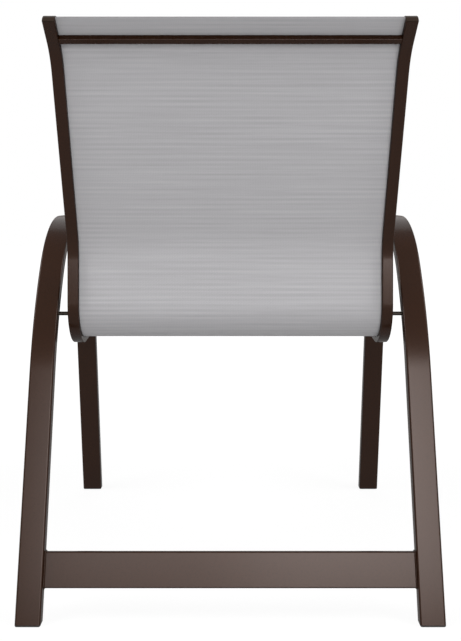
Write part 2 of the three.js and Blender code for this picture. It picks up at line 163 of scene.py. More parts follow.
class RailSizes(bpy.types.PropertyGroup):
    """The bent side rails that hold the fabric, with radii at the middle of the rail"""
    depth: length("Depth", "Front to back of the extrusion", 21 * MM)
    wall: length("Wall", "Wall of the extrusion", 1.6 * MM)
    corner: length("Corner", "Radius of the extrusion's long edges", 1.5 * MM)
    seat_low: length("Seat low height", "Lowest point of the bend behind the seat", 384.4 * MM)
    lumbar_setback: length("Lumbar setback", "Upright stretch of the back, forward of the heel",
                           123 * MM)
    lumbar_run: length("Lumbar run", "Length of the upright stretch", 70.2 * MM)
    back_run: length("Back run", "Length of the straight part of the back", 263.6 * MM)
    flare_run: length("Flare run", "Length of the flared top of the back", 41.4 * MM)
    recline: angle("Recline", "Lean of the back from upright", 24.7)
    flare_lean: angle("Flare lean", "Lean of the flared top from upright", 53.9)
    flare_radius: length("Flare bend", "Bend under the flared top", 112 * MM)
    back_radius: length("Back bend", "Bend from the back into the upright stretch", 111.5 * MM)
    seat_radius: length("Seat bend", "Bend from the upright stretch into the seat", 62.7 * MM)
    seat_rise: angle("Seat rise", "How far the seat rises towards the front", 4)
    lip_radius: length("Lip bend", "Bend over the front edge of the seat", 72 * MM)
    lip_drop: angle("Lip drop", "How steeply the front lip drops", 48)
    lip_run: length("Lip run", "Length of the straight end of the lip", 26 * MM)
    lip_overhang: length("Lip overhang", "How far the lip reaches past the toes", 4.2 * MM)
    nose_radius: length("Nose radius", "Rounding of the rail ends towards the sitter", 17 * MM)
    plug_thickness: length("Plug thickness", "Cap of the moulded plug on each rail end", 1.8 * MM)
    plug_edge: length("Plug edge", "Rounded rim of each plug", 0.8 * MM)


class SlingSizes(bpy.types.PropertyGroup):
    """The fabric panel, the splines in its edges and the spreader bars behind it"""
    thickness: length("Fabric thickness", "Thickness of the woven sheet", 1.2 * MM)
    inset: length("Fabric inset", "From the rail ends to the cut edges of the fabric", 1.7 * MM)
    spline: length("Spline diameter", "Plastic rod in the pocket along each edge", 4.8 * MM)
    pocket_gap: length("Pocket clearance", "Between the spline and its pocket", 0.3 * MM)
    groove_gap: length("Groove clearance", "Between the pocket and the rail's groove", 0.3 * MM)
    slot_gap: length("Slot clearance", "Between the fabric and each side of the rail's slot", 0.8 * MM)
    spreader_side: length("Spreader side", "Side of the square bars behind the fabric", 9.5 * MM)
    spreader_corner: length("Spreader corner", "Radius of the square bars' long edges", 1 * MM)


class FastenerSizes(bpy.types.PropertyGroup):
    """The countersunk bolts that carry the rails, and the screws in the spreader bars"""
    bolt: length("Bolt diameter", "Shank of the frame bolts", 6.35 * MM)
    bolt_head: length("Bolt head", "Diameter of the flush bolt head", 12 * MM)
    socket: length("Bolt socket", "Width across the corners of the hexagon socket", 4.6 * MM)
    screw: length("Screw diameter", "Shank of the spreader screws", 3.5 * MM)
    screw_head: length("Screw head", "Diameter of the flush screw head", 6 * MM)
    recess: length("Screw recess", "Width of the cross recess", 3.4 * MM)


class ChairColours(bpy.types.PropertyGroup):
    """Colours of the finishes"""
    coat: colour("Powder coat", "Dark bronze powder coat of the frame", "231004")
    fabric: colour("Fabric", "Woven grey sling fabric", "969597")
    plug: colour("Rail plugs", "Moulded plugs in the rail ends", "1D1209")
    glide: colour("Foot glides", "Moulded glides under the feet", "1C1816")
    spline: colour("Spline", "Plastic rod in the edge of the fabric", "D8D6D0")
    black_steel: colour("Black steel", "Blackened bolts and screws", "262422")
    zinc: colour("Zinc", "Zinc plating of the hidden nuts and inserts", "C2C0B8")
    floor: colour("Studio floor", "Plain pale floor", "B8B8B8")


class ChairSettings(bpy.types.PropertyGroup):
    """Everything that a user may change before the pieces are built"""
    hoops: PointerProperty(name="Hoops", description="Legs and arms", type=HoopSizes)
    brace: PointerProperty(name="Rear brace", description="Bar between the legs", type=BraceSizes)
    rails: PointerProperty(name="Side rails", description="Sides of back and seat", type=RailSizes)
    sling: PointerProperty(
        name="Sling and spreaders", description="Fabric and the bars behind it", type=SlingSizes)
    fasteners: PointerProperty(
        name="Bolts and screws", description="What holds the frame together", type=FastenerSizes)
    colours: PointerProperty(
        name="Colours", description="Finishes of the pieces and the floor", type=ChairColours)


# Routes in the side plane

Station = namedtuple("Station", "forward up heading run")


class Route:
    """A bent bar's middle line, of straights and tangent arcs as a tube bender makes it. A heading is
    the angle of travel above forward, and run is the distance travelled."""

    def __init__(self, forward, up, heading):
        self.stations = [Station(forward, up, heading, 0)]

    def straight(self, reach, step=None):
        """Goes straight on, in equal parts no longer than a step if one is given"""
        here = self.stations[-1]
        count = math.ceil(reach / step) if step else 1
        for i in range(1, count + 1):
            part = reach * i / count
            self.stations.append(Station(
                here.forward + part * math.cos(here.heading),
                here.up + part * math.sin(here.heading), here.heading, here.run + part))

    def bend(self, radius, to_heading):
        """Bends along a tangent arc until the travel has another heading"""
        here = self.stations[-1]
        turn = to_heading - here.heading
        signed = math.copysign(radius, turn)
        count = math.ceil(abs(turn) / BEND_STEP)
        for i in range(1, count + 1):
            heading = here.heading + turn * i / count
            self.stations.append(Station(
                here.forward + signed * (math.sin(heading) - math.sin(here.heading)),
                here.up - signed * (math.cos(heading) - math.cos(here.heading)),
                heading, here.run + radius * abs(turn) * i / count))

    def shift(self, forward, up):
        """Moves the whole route"""
        self.stations = [
            station._replace(forward=station.forward + forward, up=station.up + up)
            for station in self.stations]

    def heading_at(self, place):
        """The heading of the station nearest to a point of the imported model"""
        return min(self.stations, key=lambda station: (spot(0, station) - place).yz.length).heading


def spot(x, station, right=0, ahead=0):
    """The point beside a station, to the right-hand side of its travel and further along it"""
    along = (math.cos(station.heading), math.sin(station.heading))
    forward = station.forward + right * along[1] + ahead * along[0]
    up = station.up - right * along[0] + ahead * along[1]
    return Vector((x, HEEL_Y - forward, up))


def ahead_to(level, station, right):
    """How far along a station's heading a point beside it reaches a level above the floor"""
    up = station.up - right * math.cos(station.heading)
    return (level - up) / math.sin(station.heading)


def hoop_route(hoops):
    """The hoop's route: the rear leg is as long as the arm height asks, and the arm as the feet ask"""
    climb = QUARTER - hoops.rear_lean
    after_sweep = climb - hoops.sweep_turn
    descent = hoops.front_lean - QUARTER
    half = hoops.thickness / 2
    sweep_rise = hoops.sweep_radius * (math.cos(after_sweep) - math.cos(climb))
    corner_rise = hoops.rear_corner * (1 - math.cos(after_sweep))
    corner_drop = hoops.front_corner * (1 - math.cos(descent))
    rear_leg = (hoops.arm_height - half - sweep_rise - corner_rise) / math.sin(climb)
    front_leg = (hoops.arm_height - half - corner_drop) / -math.sin(descent)
    rear_reach = (
        rear_leg * math.cos(climb) + hoops.rear_corner * math.sin(after_sweep)
        + hoops.sweep_radius * (math.sin(climb) - math.sin(after_sweep)))
    front_reach = hoops.front_corner * -math.sin(descent) + front_leg * math.cos(descent)
    heel = half / math.sin(climb)
    toe = hoops.foot_spread - half / -math.sin(descent)
    route = Route(heel, 0, climb)
    route.straight(rear_leg)
    route.bend(hoops.sweep_radius, after_sweep)
    route.bend(hoops.rear_corner, 0)
    route.straight(toe - heel - rear_reach - front_reach)
    route.bend(hoops.front_corner, descent)
    route.straight(front_leg)
    return route


def rail_route(settings, inset=0, step=None):
    """The rail's route from the top of the back down and forward to the lip. The lumbar stretch and
    the lowest point of the seat set its place, and the seat runs on until the lip overhangs the toes."""
    rails = settings.rails
    lumbar_forward = rails.lumbar_setback + rails.depth / 2
    lumbar_up = rails.seat_low + rails.seat_radius + rails.depth / 2
    bend_reach = rails.seat_radius * (1 + math.sin(rails.seat_rise))
    lip_reach = (
        rails.lip_radius * (math.sin(rails.seat_rise) + math.sin(rails.lip_drop))
        + rails.lip_run * math.cos(rails.lip_drop))
    lip_end = settings.hoops.foot_spread + rails.lip_overhang
    seat_reach = lip_end - lumbar_forward - bend_reach - lip_reach
    route = Route(0, 0, rails.flare_lean - QUARTER)
    route.straight(rails.flare_run - inset, step)
    route.bend(rails.flare_radius, rails.recline - QUARTER)
    route.straight(rails.back_run, step)
    route.bend(rails.back_radius, -QUARTER)
    route.straight(rails.lumbar_run, step)
    lumbar = route.stations[-1]
    route.bend(rails.seat_radius, rails.seat_rise)
    route.straight(seat_reach / math.cos(rails.seat_rise), step)
    route.bend(rails.lip_radius, -rails.lip_drop)
    route.straight(rails.lip_run - inset, step)
    route.shift(lumbar_forward - lumbar.forward, lumbar_up - lumbar.up)
    return route


# Outlines

def turns(last, segments):
    """Evenly spaced angles from nought to the last, both included"""
    return [last * i / segments for i in range(segments + 1)]


def rounding(radius):
    """Points of a rounded edge, each the distance from its first face and from its second"""
    return [(radius * (1 - math.cos(turn)), radius * (1 - math.sin(turn)))
            for turn in turns(QUARTER, EDGE_SEGMENTS)]


def arc(x, y, radius, start, end, segments=CORNER_SEGMENTS):
    """Points of an arc, both ends included"""
    return [(x + radius * math.cos(start + turn), y + radius * math.sin(start + turn))
            for turn in turns(end - start, segments)]


def between(a, b, step):
    """Evenly spaced points between two others, without these"""
    count = math.ceil(math.dist(a, b) / step)
    return [tuple(p + (q - p) * i / count for p, q in zip(a, b)) for i in range(1, count)]


def rounded_rectangle(x, y, width, height, radius, segments=CORNER_SEGMENTS, step=None):
    """A counter-clockwise loop, with further points along its upright sides if a step is given"""
    dx, dy = width / 2 - radius, height / 2 - radius
    points = []
    for quarter, (side, top) in enumerate([(1, -1), (1, 1), (-1, 1), (-1, -1)]):
        start = (quarter - 1) * QUARTER
        points += arc(x + side * dx, y + top * dy, radius, start, start + QUARTER, segments)
        if step and side == -top:
            points += between(points[-1], (points[-1][0], y - top * dy), step)
    return points


def border(rows):
    """The outer points of a grid of rows, in order round it"""
    return (rows[0] + [row[-1] for row in rows[1:-1]] + rows[-1][::-1]
            + [row[0] for row in rows[-2:0:-1]])


# Meshes

def bridge(mesh, a, b):
    """Adds the faces between two rings, which have as many points or one at a tip"""
    count = max(len(a), len(b))
    for i in range(count):
        j = (i + 1) % count
        corners = [a[i % len(a)], a[j % len(a)], b[j % len(b)], b[i % len(b)]]
        mesh.faces.new(list(dict.fromkeys(corners)))


def face_outwards(mesh):
    """Turns the faces of a closed mesh outwards"""
    bmesh.ops.recalc_face_normals(mesh, faces=mesh.faces)
    return mesh


def skin(rings, closed=False):
    """A mesh over rings of points, with capped ends unless the last ring leads back to the first"""
    mesh = bmesh.new()
    made = [[mesh.verts.new(point) for point in ring] for ring in rings]
    for a, b in pairwise(made + made[:1] if closed else made):
        bridge(mesh, a, b)
    if not closed:
        for ring in (made[0], made[-1]):
            if len(ring) > 2:
                mesh.faces.new(ring)
    return face_outwards(mesh)


def sweep(loops, stations, side, warp):
    """A section of one outline and its holes, swept along stations. Section points are the distance
    from the chair's middle, and from the route to its right-hand side. The warp may change these at
    any station, and says how far the point moves along the route."""
    mesh = bmesh.new()
    last = len(stations) - 1
    rings = []
    for i, station in enumerate(stations):
        ring = []
        for loop in loops:
            points = (warp(x, w, i, last, station) for x, w in loop)
            ring.append([mesh.verts.new(spot(side * x, station, w, ahead)) for x, w, ahead in points])
        rings.append(ring)
    for ring, following in pairwise(rings):
        for a, b in zip(ring, following):
            bridge(mesh, a, b)
    flat = [[Vector((x, w, 0)) for x, w in loop] for loop in loops]
    for corners in tessellate_polygon(flat):
        for ring in (rings[0], rings[-1]):
            points = [vertex for loop in ring for vertex in loop]
            mesh.faces.new([points[corner] for corner in corners])
    return face_outwards(mesh)


def turned(profile, place, side, facets=48):
    """A turned piece that lies across the chair with its axis through a place. Profile points are
    radius and distance from the chair's middle."""
    rings = []
    for radius, x in profile:
        circle = arc(place.y, place.z, radius, 0, 2 * math.pi, facets)[1:] if radius else [place.yz]
        rings.append([(side * x, y, z) for y, z in circle])
    return skin(rings)


def bar(station, right, ahead, width, depth, corner, reach, segments=CORNER_SEGMENTS):
    """A bar that reaches as far to both sides of the chair's middle, with slightly rounded ends"""
    inner = reach - BAR_EDGE
    rings = []
    for x, inset in ((-reach, BAR_EDGE), (-inner, 0), (inner, 0), (reach, BAR_EDGE)):
        loop = rounded_rectangle(
            right, ahead, width - 2 * inset, depth - 2 * inset, corner - inset, segments)
        rings.append([spot(x, station, w, along) for w, along in loop])
    return skin(rings)


def object_of(mesh, name):
    """A scene object with that mesh"""
    data = bpy.data.meshes.new(name)
    mesh.to_mesh(data)
    mesh.free()
    piece = bpy.data.objects.new(name, data)
    bpy.context.scene.collection.objects.link(piece)
    return piece


def cut(piece, cutters):
    """Cuts meshes out of a piece, and keeps the result as the piece's mesh"""
    for i, cutter in enumerate(cutters):
        other = object_of(cutter, f"{piece.name}_cutter_{i}")
        change = piece.modifiers.new("cut", "BOOLEAN")
        change.operation = "DIFFERENCE"
        change.solver = "EXACT"
        change.object = other
        bpy.context.view_layer.update()
        changed = piece.evaluated_get(bpy.context.evaluated_depsgraph_get())
        before, piece.data = piece.data, bpy.data.meshes.new_from_object(changed)
        piece.modifiers.clear()
        bpy.data.meshes.remove(before)
        bpy.data.meshes.remove(other.data)


def give_finish(piece, material):
    """Gives a piece its one material"""
    piece.data.materials.clear()
    piece.data.materials.append(material)


def dress(piece, settings, slot, *nodes):
    """Smooths a piece, gives it the finish of its slot, and sets it in the place of nodes"""
    piece.data.shade_smooth()
    piece.data.set_sharp_from_angle(angle=SHARP_ANGLE)
    normals = piece.modifiers.new("flat faces stay flat", "WEIGHTED_NORMAL")
    normals.keep_sharp = True
    give_finish(piece, FINISHES[slot](settings.colours))
    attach(piece, "root")
    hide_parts(*nodes)


# Materials

def add_node(tree, kind, inputs=(), **settings):
    """Adds a node with its settings. Each input takes a value, or a link from another node's socket."""
    made = tree.nodes.new(kind)
    for field, value in settings.items():
        setattr(made, field, value)
    for name, value in dict(inputs).items():
        if isinstance(value, bpy.types.NodeSocket):
            tree.links.new(value, made.inputs[name])
        else:
            made.inputs[name].default_value = value
    return made


def per(millimetres):
    """The scale at which a pattern in metres repeats every so many millimetres"""
    return 1 / (millimetres * MM)


def rgba(channels, lighter=1):
    """A colour socket's value, of a linear colour made lighter or darker"""
    return (*(channel * lighter for channel in channels), 1)


def surface(tree, values, shades, gloss=None, relief=None):
    """A surface with even values, and with a colour, roughness and relief that follow patterns. These
    are each a pattern's socket with its two shades, its two roughnesses, or its strength and height."""
    inputs = dict(values)
    pattern, first, second = shades
    inputs["Base Color"] = add_node(tree, "ShaderNodeMix", {
        "Factor": pattern, "A": first, "B": second}, data_type="RGBA").outputs["Result"]
    if gloss:
        pattern, first, second = gloss
        inputs["Roughness"] = add_node(tree, "ShaderNodeMapRange", {
            "Value": pattern, "To Min": first, "To Max": second}).outputs[0]
    if relief:
        pattern, strength, height = relief
        inputs["Normal"] = add_node(tree, "ShaderNodeBump", {
            "Height": pattern, "Strength": strength, "Distance": height}).outputs["Normal"]
        if "Coat Weight" in inputs:
            inputs["Coat Normal"] = inputs["Normal"]
    return add_node(tree, "ShaderNodeBsdfPrincipled", inputs)


def made_once(maker):
    """Makes a material of a maker, which adds a surface's nodes and returns the shader. The material
    has the maker's name, and is made one time only."""
    def material_for(colours):
        name = maker.__name__
        material = bpy.data.materials.get(name)
        if not material:
            material = bpy.data.materials.new(name)
            material.use_nodes = True
            tree = material.node_tree
            tree.nodes.clear()
            shader = maker(tree, colours)
            add_node(tree, "ShaderNodeOutputMaterial", {"Surface": shader.outputs[0]})
        return material
    return material_for


@made_once
def powder_coat_on_aluminium(tree, colours):
    """Bronze powder coat with a little metal flake, sprayed as dry powder and baked until it flows.
    To the eye it is an even dark brown with a faint orange peel, under a satin skin of clear resin
    that only partly mirrors its surroundings."""
    place = add_node(tree, "ShaderNodeTexCoord").outputs["Object"]
    # The film is a little thicker and darker in patches the size of a hand
    patches = add_node(tree, "ShaderNodeTexNoise", {
        "Vector": place, "Scale": per(70), "Detail": 2.0}).outputs[0]
    # Orange peel is about 1 mm across on the real coat, and is drawn at 2.5 mm to show
    peel = add_node(tree, "ShaderNodeTexNoise", {
        "Vector": place, "Scale": per(2.5), "Detail": 3.0, "Roughness": 0.45}).outputs[0]
    # The flakes lie in the dark resin, so they stay dark where they are seen at a low angle
    values = {
        "Metallic": 0.26, "Specular IOR Level": 0.0, "Specular Tint": (0.25, 0.2, 0.16, 1),
        "Coat Weight": 0.29, "Coat Roughness": 0.22}
    return surface(
        tree, values, (patches, rgba(colours.coat, 0.9), rgba(colours.coat, 1.1)),
        gloss=(peel, 0.24, 0.32), relief=(peel, 0.25, 0.05 * MM))


@made_once
def woven_coated_polyester(tree, colours):
    """Polyester yarn coated with PVC, woven and then heated so that the yarns stick where they
    cross. To the eye it is a matt grey with fine crosswise ribs, whose rows differ a little in tone."""
    cloth = add_node(tree, "ShaderNodeAttribute", attribute_name="cloth").outputs["Vector"]
    axes = add_node(tree, "ShaderNodeSeparateXYZ", {"Vector": cloth})
    made = {"across": axes.outputs["X"], "along": axes.outputs["Y"]}
    # Single rows keep their tone for 160 mm across and broader bands for 240 mm, and the ribs of
    # heavier yarn, every 8.5 mm, stand out more in some stretches. Each pattern has its size across
    # and along in millimetres, and its detail.
    for name, size_across, size_along, detail in (
            ("rows", 160, 2.6, 1.0), ("bands", 240, 6, 0.0), ("stretches", 90, 25, 1.0)):
        scaled = add_node(tree, "ShaderNodeMapping", {
            "Vector": cloth, "Scale": (per(size_across), per(size_along), 1)})
        made[name] = add_node(tree, "ShaderNodeTexNoise", {
            "Vector": scaled.outputs[0], "Scale": 1.0, "Detail": detail}).outputs[0]
    # Yarns lie about 1.1 mm apart on the real cloth, and are drawn at twice that to show. Each step
    # is the name of its result, an operation, and the results or numbers that it works on.
    for name, operation, *terms in (
            ("weft turn", "MULTIPLY", "along", math.pi * per(2.2)),
            ("weft", "SINE", "weft turn"),
            ("warp turn", "MULTIPLY", "across", math.pi * per(2.6)),
            ("warp", "SINE", "warp turn"),
            ("crossing", "MULTIPLY", "weft", "warp"),
            ("crossing sign", "SIGN", "crossing"),
            ("weft over", "MULTIPLY_ADD", "crossing sign", 0.5, 0.5),
            ("warp over", "SUBTRACT", 1.0, "weft over"),
            ("weft bulge", "ABSOLUTE", "weft"),
            ("warp bulge", "ABSOLUTE", "warp"),
            ("weft yarn", "MULTIPLY", "weft bulge", "weft over"),
            ("warp yarn", "MULTIPLY", "warp bulge", "warp over"),
            ("height", "ADD", "weft yarn", "warp yarn"),
            ("rib turn", "MULTIPLY", "along", 2 * math.pi * per(8.5)),
            ("rib", "SINE", "rib turn"),
            ("rib strength", "MULTIPLY_ADD", "stretches", 0.12, -0.03),
            ("rib tone", "MULTIPLY", "rib", "rib strength"),
            ("row tone", "MULTIPLY_ADD", "rows", 0.18, -0.09),
            ("band tone", "MULTIPLY_ADD", "bands", 0.12, -0.06),
            # Painted shade: the hollows between the yarns are coloured darker and the yarns' crowns a
            # little lighter, following the weave's height
            ("painted weave shade", "MULTIPLY_ADD", "height", 0.08, -0.05),
            ("tone of rows", "ADD", "row tone", "band tone"),
            ("tone of ribs and rows", "ADD", "tone of rows", "rib tone"),
            ("whole tone", "ADD", "painted weave shade", "tone of ribs and rows"),
            ("shade", "ADD", "whole tone", 0.5)):
        inputs = {i: made.get(term, term) for i, term in enumerate(terms)}
        made[name] = add_node(tree, "ShaderNodeMath", inputs, operation=operation).outputs[0]
    return surface(
        tree, {"Roughness": 0.75, "Specular IOR Level": 0.3, "Sheen Weight": 0.05},
        (made["shade"], rgba(colours.fabric, 0.5), rgba(colours.fabric, 1.5)),
        relief=(made["height"], 0.35, 0.25 * MM))


@made_once
def moulded_nylon_plug(tree, colours):
    """Nylon, injection-moulded against a spark-eroded tool. To the eye it is the frame's brown,
    a little more even and duller, with a fine grain."""
    place = add_node(tree, "ShaderNodeTexCoord").outputs["Object"]
    # Spark erosion leaves a grain of about 0.1 mm, drawn at 0.8 mm to show
    grain = add_node(tree, "ShaderNodeTexNoise", {
        "Vector": place, "Scale": per(0.8), "Detail": 2.0}).outputs[0]
    return surface(
        tree, {"Specular IOR Level": 0.1},
        (grain, rgba(colours.plug, 0.85), rgba(colours.plug, 1.15)),
        gloss=(grain, 0.48, 0.6), relief=(grain, 0.3, 0.02 * MM))


@made_once
def moulded_nylon_glide(tree, colours):
    """Hard nylon, injection-moulded and then scuffed by patio paving. To the eye it is black, with
    a greyer, rougher underside and rim."""
    place = add_node(tree, "ShaderNodeTexCoord").outputs["Object"]
    scuffs = add_node(tree, "ShaderNodeTexNoise", {
        "Vector": place, "Scale": per(3), "Detail": 4.0}).outputs[0]
    # Scuffs stay within the lowest millimetre or so, where the glide meets the ground
    height = add_node(tree, "ShaderNodeSeparateXYZ", {"Vector": place}).outputs["Z"]
    level = add_node(tree, "ShaderNodeMapRange", {
        "Value": height, "From Max": 1.6 * MM, "To Min": 1.0, "To Max": 0.0}).outputs[0]
    worn = add_node(tree, "ShaderNodeMath", {0: scuffs, 1: level}, operation="MULTIPLY").outputs[0]
    return surface(
        tree, {"Specular IOR Level": 0.3}, (worn, rgba(colours.glide), rgba(colours.glide, 5)),
        gloss=(worn, 0.5, 0.8), relief=(scuffs, 0.2, 0.05 * MM))


@made_once
def extruded_vinyl_spline(tree, colours):
    """Vinyl rod, extruded and cut to length. To the eye it is off-white and smooth, with faint
    lengthwise drag marks."""
    place = add_node(tree, "ShaderNodeTexCoord").outputs["Object"]
    # The die leaves lines about 0.3 mm apart, which run along the rod and are drawn at 0.6 mm
    scaled = add_node(tree, "ShaderNodeMapping", {
        "Vector": place, "Scale": (per(0.6), per(15), per(15))})
    lines = add_node(tree, "ShaderNodeTexNoise", {
        "Vector": scaled.outputs[0], "Scale": 1.0, "Detail": 1.0}).outputs[0]
    return surface(
        tree, {"Roughness": 0.45}, (lines, rgba(colours.spline, 0.94), rgba(colours.spline)),
        relief=(lines, 0.3, 0.02 * MM))


@made_once
def black_oxide_steel(tree, colours):
    """Cold-headed steel, turned black in a hot salt bath and oiled. To the eye it is a soft
    charcoal metal, a little browner and rougher in patches."""
    place = add_node(tree, "ShaderNodeTexCoord").outputs["Object"]
    # The bath takes unevenly, in patches of about 2 mm
    patches = add_node(tree, "ShaderNodeTexNoise", {
        "Vector": place, "Scale": per(2), "Detail": 3.0}).outputs[0]
    browner = (1.2, 1.05, 0.9)
    brown = [channel * share for channel, share in zip(colours.black_steel, browner)]
    return surface(
        tree, {"Metallic": 1.0}, (patches, rgba(colours.black_steel, 0.8), rgba(brown)),
        gloss=(patches, 0.35, 0.5))


@made_once
def zinc_plated_steel(tree, colours):
    """Steel plated with zinc in a barrel of tumbling parts. To the eye it is a bright grey metal
    with small dull dents where parts knocked together."""
    place = add_node(tree, "ShaderNodeTexCoord").outputs["Object"]
    dents = add_node(tree, "ShaderNodeTexVoronoi", {
        "Vector": place, "Scale": per(1.5)}).outputs["Distance"]
    return surface(
        tree, {"Metallic": 1.0}, (dents, rgba(colours.zinc, 0.85), rgba(colours.zinc)),
        gloss=(dents, 0.42, 0.28))


@made_once
def painted_studio_floor(tree, colours):
    """A floor painted matt pale grey. The camera, and anything glossy, sees it nearly as bright as the
    background, and it keeps a part of the chair's soft shadow."""
    paint = add_node(tree, "ShaderNodeBsdfDiffuse", {"Color": rgba(colours.floor)})
    # The paint's share is darker than white, and this makes up for it
    white = add_node(tree, "ShaderNodeEmission", {"Color": (1, 1, 1, 1), "Strength": 1.09})
    place = add_node(tree, "ShaderNodeTexCoord").outputs["Object"]
    distance = add_node(tree, "ShaderNodeVectorMath", {0: place}, operation="LENGTH")
    # The shadow shows near the chair, and further away the floor fades into the background
    fade = add_node(tree, "ShaderNodeMapRange", {
        "Value": distance.outputs["Value"], "From Min": 0.7, "From Max": 2.2, "To Min": 0.85,
        "To Max": 1.0})
    share = add_node(tree, "ShaderNodeMath", {
        0: seen_directly(tree), 1: fade.outputs[0]}, operation="MULTIPLY")
    return add_node(tree, "ShaderNodeMixShader", {
        0: share.outputs[0], 1: paint.outputs[0], 2: white.outputs[0]})


def seen_directly(tree):
    """One for the camera, and for what reflections and clear materials show of the scene"""
    path = add_node(tree, "ShaderNodeLightPath")
    glossy = add_node(tree, "ShaderNodeMath", {
        0: path.outputs["Is Camera Ray"], 1: path.outputs["Is Glossy Ray"]}, operation="MAXIMUM")
    return add_node(tree, "ShaderNodeMath", {
        0: glossy.outputs[0], 1: path.outputs["Is Transmission Ray"]},
        operation="MAXIMUM").outputs[0]


# The finish of each material slot that new pieces take
FINISHES = {
    "powder_coated_frame": powder_coat_on_aluminium,
    "sling_fabric": woven_coated_polyester,
    "moulded_plug": moulded_nylon_plug,
    "foot_glide": moulded_nylon_glide,
    "black_steel": black_oxide_steel,
}


# Pieces

def across(settings):
    """Distances from the chair's middle of the faces of the hoop and rail, and of the rail's groove"""
    sling, rails = settings.sling, settings.rails
    inner, outer = low("rail_left").x, high("rail_left").x
    pocket = sling.spline / 2 + sling.pocket_gap + sling.thickness
    groove = pocket + sling.groove_gap
    slot = sling.thickness + 2 * sling.slot_gap
    groove_x = inner + rails.wall + math.sqrt(groove ** 2 - (slot / 2) ** 2)
    chamber_width = outer - rails.wall - (groove_x + groove + rails.wall)
    return SimpleNamespace(
        hoop_inner=low("hoop_left").x, hoop_outer=high("hoop_left").x,
        hoop_middle=(low("hoop_left").x + high("hoop_left").x) / 2,
        rail_inner=inner, rail_outer=outer,
        pocket=pocket, groove=groove, slot=slot, groove_x=groove_x,
        chamber_width=chamber_width, chamber_x=outer - rails.wall - chamber_width / 2)


def fastener_profile(diameter, head, tip, point, face):
    """A countersunk fastener from its pointed or chamfered tip to its flush head, with a soft rim"""
    radius, rim = diameter / 2, head / 2
    soft = 0.12 * MM
    profile = [
        (0, tip), (radius - point, tip), (radius, tip + point),
        (radius, face - (rim - radius)), (rim - soft, face - soft), (rim - soft, face - soft / 2),
        (rim - 2 * soft, face), (0, face),
    ]
    # A full point begins with the same place twice
    return list(dict.fromkeys(profile))


def bore_profile(diameter, start, end):
    """A straight hole that leaves what passes through it a clearance"""
    radius = diameter / 2 + FIT_GAP
    return [(0, start), (radius, start), (radius, end), (0, end)]


def clearance_profile(diameter, head, tip, face):
    """The hole that leaves a countersunk fastener its clearance, past both of its ends"""
    radius, rim = diameter / 2 + FIT_GAP, head / 2 + FIT_GAP
    return [
        (0, tip - OVERRUN), (radius, tip - OVERRUN), (radius, face - (head - diameter) / 2),
        (rim, face), (rim, face + OVERRUN), (0, face + OVERRUN),
    ]


class PATIO_CHAIR_OT_hoops(bpy.types.Operator):
    """Build the two bent hoops that make the legs and the arms"""
    bl_idname = "patio_chair.hoops"
    bl_label = "Hoops"

    def execute(self, context):
        settings = context.scene.patio_chair
        hoops, fasteners, places = settings.hoops, settings.fasteners, across(settings)
        loops = [
            rounded_rectangle(places.hoop_middle, 0, hoops.width, hoops.thickness, hoops.corner),
            rounded_rectangle(
                places.hoop_middle, 0, hoops.width - 2 * hoops.wall,
                hoops.thickness - 2 * hoops.wall, hoops.corner - hoops.wall, segments=3),
        ]

        def cut_level(x, w, i, last, station):
            return x, w, ahead_to(hoops.glide_thickness, station, w) if i in (0, last) else 0

        insert_diameter = high("hoop_insert_left_rear").z - low("hoop_insert_left_rear").z
        behind_wall = places.hoop_inner + 2 * hoops.wall
        holes = [
            clearance_profile(
                fasteners.bolt, fasteners.bolt_head, places.hoop_inner, places.hoop_outer),
            bore_profile(insert_diameter, behind_wall - OVERRUN, behind_wall),
        ]
        stations = hoop_route(hoops).stations
        for name, side in SIDES.items():
            hoop = object_of(sweep(loops, stations, side, cut_level), f"{name}_hoop")
            cut(hoop, [
                turned(hole, middle(f"frame_bolt_{name}_{end}"), side)
                for end in ENDS for hole in holes])
            dress(hoop, settings, "powder_coated_frame", f"hoop_{name}")
        return {"FINISHED"}


class PATIO_CHAIR_OT_brace(bpy.types.Operator):
    """Build the flat bar between the rear legs, and the weld beads at its ends"""
    bl_idname = "patio_chair.brace"
    bl_label = "Rear brace"

    def execute(self, context):
        settings = context.scene.patio_chair
        hoops, brace, places = settings.hoops, settings.brace, across(settings)
        leg = hoop_route(hoops).stations[0]
        right = (hoops.thickness - brace.thickness) / 2
        ahead = brace.height / math.cos(hoops.rear_lean)
        piece = object_of(
            bar(leg, right, ahead, brace.thickness, brace.depth, brace.corner,
                places.hoop_inner - TOUCH_GAP), "brace_bar")
        dress(piece, settings, "powder_coated_frame", "rear_brace")
        for name, side in SIDES.items():
            bead = object_of(self.bead(brace, leg, right, ahead, places.hoop_inner, side),
                             f"{name}_brace_weld")
            dress(bead, settings, "powder_coated_frame")
        return {"FINISHED"}

    def bead(self, brace, leg, right, ahead, face, side):
        """A low bead round the end of the bar, with the ripples that the welder leaves. It is
        ground nearly flush in front, where the bar lies level with the leg."""
        sunk = 0.5 * MM
        ripple, ripple_pitch = 0.12 * MM, 2.4 * MM
        flattening = 1.3
        path = rounded_rectangle(
            right, ahead, brace.thickness, brace.depth, brace.corner, segments=5, step=0.8 * MM)
        flush = right + brace.thickness / 2
        rings = []
        for i, (w, along) in enumerate(path):
            before, after = Vector(path[i - 1]), Vector(path[(i + 1) % len(path)])
            travel = (after - before).normalized()
            outward = Vector((travel.y, -travel.x))
            wave = ripple * math.sin(2 * math.pi * along / ripple_pitch)
            width = brace.weld + wave if w < flush - brace.corner / 2 else sunk / 2
            profile = [(-sunk, -sunk), (width, -sunk)]
            profile += [
                (width * math.cos(turn) ** flattening, width * math.sin(turn) ** flattening)
                for turn in turns(QUARTER, segments=5)]
            profile.append((-sunk, width))
            rings.append([
                spot(side * (face - along_leg), leg, w + outward.x * out, along + outward.y * out)
                for out, along_leg in profile])
        return skin(rings, closed=True)


